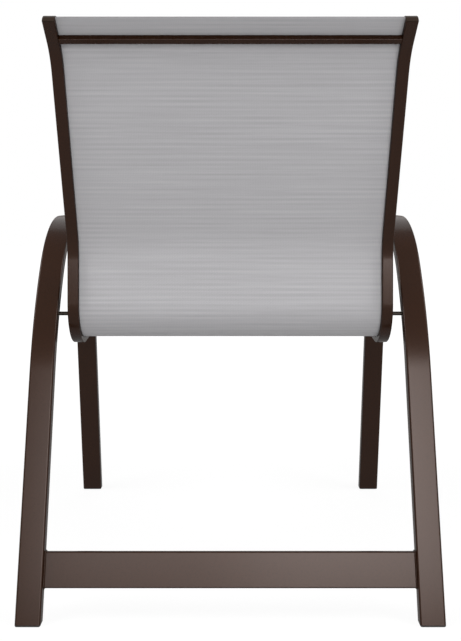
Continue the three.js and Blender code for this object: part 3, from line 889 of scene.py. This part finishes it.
def rail_sections(rails, places):
    """The rail's outline with the keyhole groove in its inner face, and its closed chamber"""
    inner, outer, half = places.rail_inner, places.rail_outer, rails.depth / 2
    corner, lip, soft = rails.corner, places.slot / 2, 0.3 * MM
    mouth = math.asin(lip / places.groove)
    outline = [(inner + soft, -lip)]
    outline += arc(inner + soft, -lip - soft, soft, QUARTER, 2 * QUARTER, segments=3)[1:]
    outline += between((inner, -lip - soft), (inner, corner - half), RAIL_FACE_STEP)
    outline += arc(inner + corner, corner - half, corner, 2 * QUARTER, 3 * QUARTER)
    outline += arc(outer - corner, corner - half, corner, 3 * QUARTER, 4 * QUARTER)
    outline += between((outer, corner - half), (outer, half - corner), RAIL_FACE_STEP)
    outline += arc(outer - corner, half - corner, corner, 0, QUARTER)
    outline += arc(inner + corner, half - corner, corner, QUARTER, 2 * QUARTER)
    outline += between((inner, half - corner), (inner, lip + soft), RAIL_FACE_STEP)
    outline += arc(inner + soft, lip + soft, soft, 2 * QUARTER, 3 * QUARTER, segments=3)
    outline += arc(
        places.groove_x, 0, places.groove, 2 * QUARTER - mouth, mouth - 2 * QUARTER, segments=36)
    chamber = rounded_rectangle(
        places.chamber_x, 0, places.chamber_width, rails.depth - 2 * rails.wall, rails.wall / 2,
        segments=3)
    return [outline, chamber]


def nose(rails, depth, inset):
    """How far a face lies from the rail's end, at a depth from the rear or under face. The inset is
    the distance between that face and the plug's outer one."""
    radius = rails.nose_radius - inset
    flat = rails.depth - rails.nose_radius
    if depth <= flat:
        return inset
    over = min(depth - flat, radius)
    return rails.nose_radius - max(math.sqrt(radius ** 2 - over ** 2), rails.plug_thickness - inset)


class PATIO_CHAIR_OT_rails(bpy.types.Operator):
    """Build the two bent rails with their keyhole grooves"""
    bl_idname = "patio_chair.rails"
    bl_label = "Side rails"

    def execute(self, context):
        settings = context.scene.patio_chair
        rails, fasteners, places = settings.rails, settings.fasteners, across(settings)

        def cut_nose(x, w, i, last, station):
            deep = nose(rails, rails.depth / 2 - w, rails.plug_thickness)
            return x, w, {0: deep, last: -deep}.get(i, 0)

        loops, stations = rail_sections(rails, places), rail_route(settings).stations
        bolt_hole = bore_profile(fasteners.bolt, places.chamber_x, places.rail_outer + OVERRUN)
        screw_hole = clearance_profile(
            fasteners.screw, fasteners.screw_head, places.rail_inner, places.rail_outer)
        for name, side in SIDES.items():
            rail = object_of(sweep(loops, stations, side, cut_nose), f"{name}_rail")
            holes = [(bolt_hole, f"frame_bolt_{name}_{end}") for end in ENDS]
            holes += [(screw_hole, f"spreader_screw_{name}_{place}") for place in SPREADERS]
            cut(rail, [turned(hole, middle(node), side) for hole, node in holes])
            dress(rail, settings, "powder_coated_frame", f"rail_{name}")
        return {"FINISHED"}


class PATIO_CHAIR_OT_plugs(bpy.types.Operator):
    """Build the moulded plugs in the rail ends"""
    bl_idname = "patio_chair.plugs"
    bl_label = "Rail plugs"

    def execute(self, context):
        settings = context.scene.patio_chair
        rails, stations = settings.rails, rail_route(settings).stations
        face, rims = self.shape(rails, across(settings))
        for end, station, inward in (("top", stations[0], 1), ("front", stations[-1], -1)):
            for name, side in SIDES.items():
                def placed(points):
                    return [spot(side * x, station, rails.depth / 2 - depth, inward * deep)
                            for x, depth, deep in points]
                mesh = self.mesh([placed(row) for row in face], [placed(rim) for rim in rims])
                piece = object_of(mesh, f"{name}_{end}_rail_plug")
                dress(piece, settings, "moulded_plug", f"rail_plug_{name}_{end}")
        return {"FINISHED"}

    def rows(self, rails):
        """Rows over the plug's face, from the rear or under face to the sitter's: depth, distance
        from the rail's end, and the direction into the plug"""
        edge, radius = rails.plug_edge, rails.nose_radius
        steepest = math.acos(rails.plug_thickness / radius)
        rows = [
            (depth, deep, math.cos(turn), math.sin(turn))
            for (depth, deep), turn in zip(rounding(edge), turns(QUARTER, EDGE_SEGMENTS))]
        return rows + [
            (rails.depth - radius + radius * math.sin(turn), radius * (1 - math.cos(turn)),
             -math.sin(turn), math.cos(turn)) for turn in turns(steepest, segments=24)]

    def shape(self, rails, places):
        """The face as rows of points, and the rim of the cap with the stem's two outlines. Points
        are distance from the chair's middle, depth, and distance from the rail's end."""
        edge, corner, half_depth = rails.plug_edge, rails.corner, rails.depth / 2
        x_middle = (places.rail_inner + places.rail_outer) / 2
        half = (places.rail_outer - places.rail_inner) / 2
        face = []
        for depth, deep, into_depth, into_end in self.rows(rails):
            from_corner = max(corner - min(depth, rails.depth - depth), 0)
            reach = half - corner + math.sqrt(corner ** 2 - from_corner ** 2)
            rim = [(reach - inset, drop) for inset, drop in rounding(edge)]
            flat = [(rim[-1][0] * share, 0) for share in (0.5, 0, -0.5)]
            mirrored = [(-offset, drop) for offset, drop in reversed(rim)]
            face.append([
                (x_middle + offset, depth + into_depth * drop, deep + into_end * drop)
                for offset, drop in rim + flat + mirrored])
        inner_face, least_rim, stem_reach = rails.plug_thickness - FIT_GAP, 0.05 * MM, 23 * MM
        stem_width = places.chamber_width / 2 - FIT_GAP
        stem_depth = half_depth - rails.wall - FIT_GAP
        cap, stem = [], []
        for x, depth, deep in border(face):
            cap.append((x, depth, max(nose(rails, depth, inner_face), deep + least_rim)))
            around = half_depth + (depth / half_depth - 1) * stem_depth
            stem.append((places.chamber_x + (x - x_middle) / half * stem_width, around,
                         nose(rails, around, inner_face)))
        return face, [cap, stem, [(x, depth, stem_reach) for x, depth, _ in stem]]

    def mesh(self, face, rims):
        """The plug's skin over its face, rim and stem"""
        mesh = bmesh.new()
        rows = [[mesh.verts.new(point) for point in row] for row in face]
        for lower, upper in pairwise(rows):
            for i, j in pairwise(range(len(lower))):
                mesh.faces.new((lower[i], lower[j], upper[j], upper[i]))
        ring = border(rows)
        for rim in rims:
            following = [mesh.verts.new(point) for point in rim]
            bridge(mesh, ring, following)
            ring = following
        mesh.faces.new(ring)
        return face_outwards(mesh)


class PATIO_CHAIR_OT_sling(bpy.types.Operator):
    """Build the fabric panel, with a pocket along each edge that holds a spline in the rail"""
    bl_idname = "patio_chair.sling"
    bl_label = "Fabric sling"

    # Two further stations near each end round the cut edges: their distances from the end, and the
    # shares of the thickness that are left at the end and at the nearer of them
    EDGE_GAPS = (0.2 * MM, 0.6 * MM)
    EDGE_SHARES = (0.4, 0.8)

    def execute(self, context):
        settings = context.scene.patio_chair
        rails, sling, places = settings.rails, settings.sling, across(settings)
        half, pocket, x = sling.thickness / 2, places.pocket, places.groove_x
        mouth = math.asin(half / pocket)
        edge, margin, columns_to_edge = places.rail_inner - TOUCH_GAP, 0.1 * MM, 10
        seam = x - pocket * math.cos(mouth)
        columns = [
            edge, edge - margin,
            *(edge * k / columns_to_edge for k in range(columns_to_edge - 1, -columns_to_edge, -1)),
            margin - edge, -edge]
        outline = arc(x, 0, pocket, mouth - math.pi, math.pi - mouth, segments=28)
        outline += [(column, half) for column in columns]
        outline += arc(-x, 0, pocket, mouth, 2 * math.pi - mouth, segments=28)
        outline += [(column, -half) for column in reversed(columns)]
        bore = pocket - sling.thickness
        bores = [arc(side * x, 0, bore, 0, 2 * math.pi, segments=24)[1:] for side in (1, -1)]

        def finish_ends(x, w, i, last, station):
            from_end = min(i, last - i)
            rounded = len(self.EDGE_SHARES)
            deep = 0
            if abs(x) > edge - margin / 2 and from_end <= rounded:
                cut_back = nose(rails, rails.depth / 2 - w, rails.plug_thickness + TOUCH_GAP)
                deep = cut_back - sling.inset
            elif abs(x) < seam and from_end < rounded:
                w *= self.EDGE_SHARES[from_end]
            return x, w, deep if i <= rounded else -deep

        stations = self.with_rounded_edges(rail_route(settings, sling.inset, CLOTH_STEP).stations)
        cloth = object_of(sweep([outline, *bores], stations, 1, finish_ends), "sling_panel")
        # The weave follows the cloth: its place across, and along the bent rails
        size = sum(len(loop) for loop in (outline, *bores))
        weave = cloth.data.attributes.new("cloth", "FLOAT_VECTOR", "POINT")
        for i, vertex in enumerate(cloth.data.vertices):
            weave.data[i].vector = (vertex.co.x, stations[i // size].run, 0)
        dress(cloth, settings, "sling_fabric", "sling")
        for name in SIDES:
            give_finish(
                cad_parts[f"spline_{name}"], extruded_vinyl_spline(settings.colours))
        return {"FINISHED"}

    def with_rounded_edges(self, stations):
        """The stations, with two more close to each end for the rounding of the cut edges"""
        def near(a, b):
            shares = [gap / abs(b.run - a.run) for gap in self.EDGE_GAPS]
            return [Station(*(p + (q - p) * share for p, q in zip(a, b))) for share in shares]
        first, second, *_, previous, last = stations
        return [
            first, *near(first, second), *stations[1:-1], *reversed(near(last, previous)), last]


class PATIO_CHAIR_OT_spreaders(bpy.types.Operator):
    """Build the square bars that hold the rails apart behind the fabric"""
    bl_idname = "patio_chair.spreaders"
    bl_label = "Spreader bars"

    def execute(self, context):
        settings = context.scene.patio_chair
        sling, screw = settings.sling, settings.fasteners.screw
        route = rail_route(settings)
        reach = across(settings).rail_inner - TOUCH_GAP
        for name in SPREADERS:
            node = f"{name}_spreader"
            place = middle(node)
            station = Station(HEEL_Y - place.y, place.z, route.heading_at(place), 0)
            piece = object_of(
                bar(station, 0, 0, sling.spreader_side, sling.spreader_side,
                    sling.spreader_corner, reach, segments=4), f"{name}_spreader_bar")
            bores = []
            for side_name, side in SIDES.items():
                fastener = f"spreader_screw_{side_name}_{name}"
                bore = bore_profile(screw, inner_x(fastener) - screw / 2, reach + OVERRUN)
                bores.append(turned(bore, middle(fastener), side))
            cut(piece, bores)
            dress(piece, settings, "powder_coated_frame", node)
        return {"FINISHED"}


class PATIO_CHAIR_OT_glides(bpy.types.Operator):
    """Build the moulded glides under the feet"""
    bl_idname = "patio_chair.glides"
    bl_label = "Foot glides"

    def execute(self, context):
        settings = context.scene.patio_chair
        hoops, x = settings.hoops, across(settings).hoop_middle
        soft, top = hoops.glide_round, hoops.glide_thickness - FIT_GAP
        stem = high("foot_glide_left_rear").z
        inside, least_corner = hoops.wall + FIT_GAP, 0.4 * MM
        # Heights above the floor, and insets from the tube's outline
        levels = [
            *rounding(soft), (top - soft / 4, 0), (top, soft / 4), (top, inside),
            (stem - soft, inside), (stem, inside + soft / 2)]
        stations = hoop_route(hoops).stations
        for end, station in zip(ENDS, (stations[0], stations[-1])):
            for name, side in SIDES.items():
                rings = []
                for level, inset in levels:
                    loop = rounded_rectangle(
                        x, 0, hoops.width - 2 * inset, hoops.thickness - 2 * inset,
                        max(hoops.corner - inset, least_corner))
                    rings.append([
                        spot(side * from_middle, station, w, ahead_to(level, station, w))
                        for from_middle, w in loop])
                piece = object_of(skin(rings), f"{name}_{end}_glide")
                dress(piece, settings, "foot_glide", f"foot_glide_{name}_{end}")
        return {"FINISHED"}


Fastener = namedtuple("Fastener", "diameter head point face facets recess")


class PATIO_CHAIR_OT_fasteners(bpy.types.Operator):
    """Build the bolts between hoops and rails, and the screws in the spreader bars"""
    bl_idname = "patio_chair.fasteners"
    bl_label = "Bolts and screws"

    def execute(self, context):
        settings = context.scene.patio_chair
        sizes, places = settings.fasteners, across(settings)
        chamfer = 0.8 * MM
        bolt = Fastener(
            sizes.bolt, sizes.bolt_head, chamfer, places.hoop_outer, facets=48, recess=self.hexagon)
        screw = Fastener(
            sizes.screw, sizes.screw_head, sizes.screw / 2, places.rail_outer, facets=32,
            recess=self.cross)
        for name, side in SIDES.items():
            wanted = [(bolt, f"frame_bolt_{name}_{end}", f"{name}_{end}_bolt") for end in ENDS]
            wanted += [(screw, f"spreader_screw_{name}_{place}", f"{name}_{place}_screw")
                       for place in SPREADERS]
            for kind, node, piece_name in wanted:
                profile = fastener_profile(
                    kind.diameter, kind.head, inner_x(node), kind.point, kind.face)
                piece = object_of(turned(profile, middle(node), side, kind.facets), piece_name)
                cut(piece, [kind.recess(sizes, middle(node), kind.face, side)])
                dress(piece, settings, "black_steel", node)
            for end in ENDS:
                for kept in (f"hoop_insert_{name}_{end}", f"rail_nut_{name}_{end}"):
                    give_finish(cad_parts[kept], zinc_plated_steel(settings.colours))
        return {"FINISHED"}

    def hexagon(self, sizes, place, face, side):
        """The cutter for a hexagon socket with a pointed bottom"""
        radius, bottom, point = sizes.socket / 2, face - 2.4 * MM, 0.6 * MM
        profile = [
            (0, bottom - point), (radius, bottom), (radius, face + OVERRUN), (0, face + OVERRUN)]
        return turned(profile, place, side, facets=6)

    def cross(self, sizes, place, face, side):
        """The cutter for a cross recess, which narrows inwards"""
        reach, half_arm = sizes.recess / 2, 0.32 * MM
        rings = []
        # From the bottom to above the face, with the width as a share of that at the face
        for x, share in ((face - 1.4 * MM, 0.45), (face, 1), (face + MM, 1.3)):
            arm = [(reach * share, half_arm), (half_arm, half_arm), (half_arm, reach * share)]
            corners = [(a * y, b * z) for a in (1, -1) for b in (1, -1) for y, z in arm]
            corners.sort(key=lambda corner: math.atan2(corner[1], corner[0]))
            rings.append([(side * x, place.y + y, place.z + z) for y, z in corners])
        return skin(rings)


# Stage

# Azimuths run from +Y towards -X and elevations from level, in degrees, and power is in watts
Lamp = namedtuple("Lamp", "name azimuth elevation distance size power")
LAMPS = (
    Lamp("low_right_softbox", 10.5, 8.0, 4.2, (1.4, 1.66), 92),
    Lamp("low_left_softbox", -7.6, 7.0, 4.2, (1.24, 1.46), 41),
    Lamp("side_right_softbox", 70, 38, 3.4, (2.0, 2.0), 102),
    Lamp("side_left_softbox", -70, 38, 3.4, (2.0, 2.0), 102),
    Lamp("front_softbox", 180, 42, 3.2, (2.4, 2.4), 27),
)
LAMP_TARGET = Vector((0, 0, 0.45))

# The camera looks level at the chair's back, and the shift gives the photograph's framing
CAMERA_PLACE = (0, 1.4983, 0.63)
CAMERA_TURN = (QUARTER, 0, math.pi)
CAMERA_LENS = 47.18
CAMERA_SHIFT = (0.0003, -0.1934)

# The floor lies just under the glides, and the background gives the chair a faint even light
FLOOR_HALF = 9
FLOOR_DROP = 0.2 * MM
WORLD_LIGHT = 0.1


class PATIO_CHAIR_OT_stage(bpy.types.Operator):
    """Build the floor, the background, the lamps and the camera"""
    bl_idname = "patio_chair.stage"
    bl_label = "Stage"

    def execute(self, context):
        scene = context.scene
        mesh = bmesh.new()
        mesh.faces.new([
            mesh.verts.new((x * FLOOR_HALF, y * FLOOR_HALF, -FLOOR_DROP))
            for x, y in ((-1, -1), (1, -1), (1, 1), (-1, 1))])
        floor = object_of(mesh, "studio_floor")
        give_finish(floor, painted_studio_floor(scene.patio_chair.colours))
        self.background(scene)
        for lamp in LAMPS:
            self.lamp(scene, lamp)

        camera = bpy.data.cameras.new("camera")
        camera.lens = CAMERA_LENS
        camera.shift_x, camera.shift_y = CAMERA_SHIFT
        holder = bpy.data.objects.new("camera", camera)
        holder.location = CAMERA_PLACE
        holder.rotation_euler = CAMERA_TURN
        scene.collection.objects.link(holder)
        scene.camera = holder
        scene.view_settings.view_transform = "Standard"
        return {"FINISHED"}

    def background(self, scene):
        """White where it is seen, and a faint even light on the chair"""
        world = bpy.data.worlds.new("studio_background")
        scene.world = world
        world.use_nodes = True
        tree = world.node_tree
        tree.nodes.clear()
        strength = add_node(tree, "ShaderNodeMapRange", {
            "Value": seen_directly(tree), "To Min": WORLD_LIGHT, "To Max": 1.0})
        background = add_node(tree, "ShaderNodeBackground", {
            "Color": (1, 1, 1, 1), "Strength": strength.outputs[0]})
        add_node(tree, "ShaderNodeOutputWorld", {"Surface": background.outputs[0]})

    def lamp(self, scene, lamp):
        """A soft box that faces the chair, and that the camera doesn't see"""
        azimuth, elevation = math.radians(lamp.azimuth), math.radians(lamp.elevation)
        level = math.cos(elevation)
        away = Vector((
            -math.sin(azimuth) * level, math.cos(azimuth) * level, math.sin(elevation)))
        light = bpy.data.lights.new(lamp.name, "AREA")
        light.shape = "RECTANGLE"
        light.size, light.size_y = lamp.size
        light.energy = lamp.power
        holder = bpy.data.objects.new(lamp.name, light)
        holder.location = LAMP_TARGET + away * lamp.distance
        holder.rotation_euler = away.to_track_quat("Z", "Y").to_euler()
        holder.visible_camera = False
        scene.collection.objects.link(holder)


# Add-on

OPERATORS = (
    PATIO_CHAIR_OT_hoops, PATIO_CHAIR_OT_brace, PATIO_CHAIR_OT_rails, PATIO_CHAIR_OT_plugs,
    PATIO_CHAIR_OT_sling, PATIO_CHAIR_OT_spreaders, PATIO_CHAIR_OT_glides,
    PATIO_CHAIR_OT_fasteners, PATIO_CHAIR_OT_stage,
)


class PATIO_CHAIR_PT_builder(bpy.types.Panel):
    """Lists the steps that build the chair, and the sizes and colours that they use"""
    bl_idname = "PATIO_CHAIR_PT_builder"
    bl_label = "Patio Chair"
    bl_space_type = "VIEW_3D"
    bl_region_type = "UI"
    bl_category = "Patio Chair"

    def draw(self, context):
        for operator in OPERATORS:
            self.layout.operator(operator.bl_idname)
        settings = context.scene.patio_chair
        for group_name in ("hoops", "brace", "rails", "sling", "fasteners", "colours"):
            group = getattr(settings, group_name)
            box = self.layout.box()
            box.label(text=settings.bl_rna.properties[group_name].name)
            for field in group.bl_rna.properties:
                if field.identifier not in ("name", "rna_type"):
                    box.prop(group, field.identifier)


CLASSES = (
    HoopSizes, BraceSizes, RailSizes, SlingSizes, FastenerSizes, ChairColours, ChairSettings,
    *OPERATORS, PATIO_CHAIR_PT_builder,
)


def register():
    """Register the settings, the operators and the panel"""
    for added in CLASSES:
        bpy.utils.register_class(added)
    bpy.types.Scene.patio_chair = PointerProperty(type=ChairSettings)


def unregister():
    """Take them away again, in the opposite order"""
    del bpy.types.Scene.patio_chair
    for added in reversed(CLASSES):
        bpy.utils.unregister_class(added)


def main():
    """Build the chair and its stage in order"""
    register()
    bpy.ops.patio_chair.hoops()
    bpy.ops.patio_chair.brace()
    bpy.ops.patio_chair.rails()
    bpy.ops.patio_chair.plugs()
    bpy.ops.patio_chair.sling()
    bpy.ops.patio_chair.spreaders()
    bpy.ops.patio_chair.glides()
    bpy.ops.patio_chair.fasteners()
    bpy.ops.patio_chair.stage()


if __name__ == "__main__":
    main()
